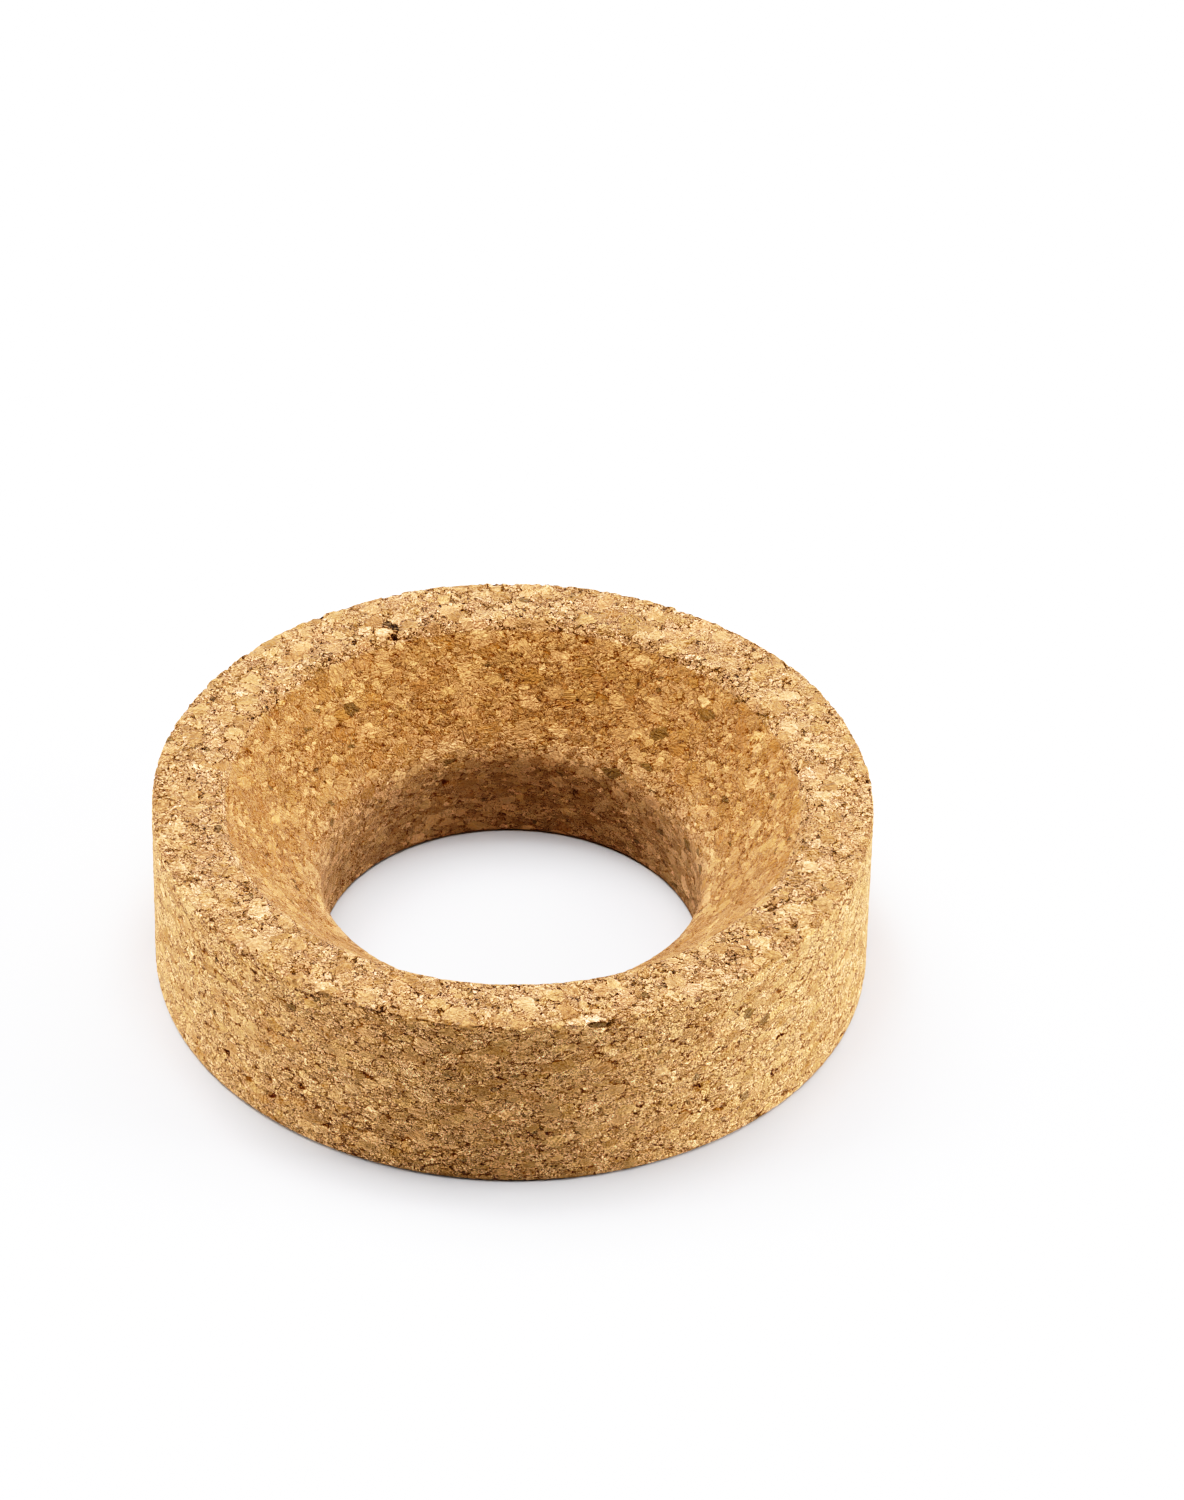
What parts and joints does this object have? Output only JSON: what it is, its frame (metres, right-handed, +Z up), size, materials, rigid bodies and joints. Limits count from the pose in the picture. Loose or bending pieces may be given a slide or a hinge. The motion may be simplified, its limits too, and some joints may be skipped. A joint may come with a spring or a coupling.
{
  "type": "cork ring",
  "caption": "Round cork support ring for a round-bottomed flask: flat rim, conical seat running down into a straight through bore, flat base.",
  "frame": {"origin": "centre of the flat base, on the ring's axis", "axes": "+Z up along the axis, out of the base and through the bore; +X to the right and +Y away, though the ring is round about Z"},
  "size_m": [0.11, 0.11, 0.03],
  "materials": {
    "cork": "matte pressed cork granules, cut and turned, with small pits and dark bark flecks"
  },
  "bodies": {
    "root": {"cork_ring": "cork"}
  },
  "joints": []
}
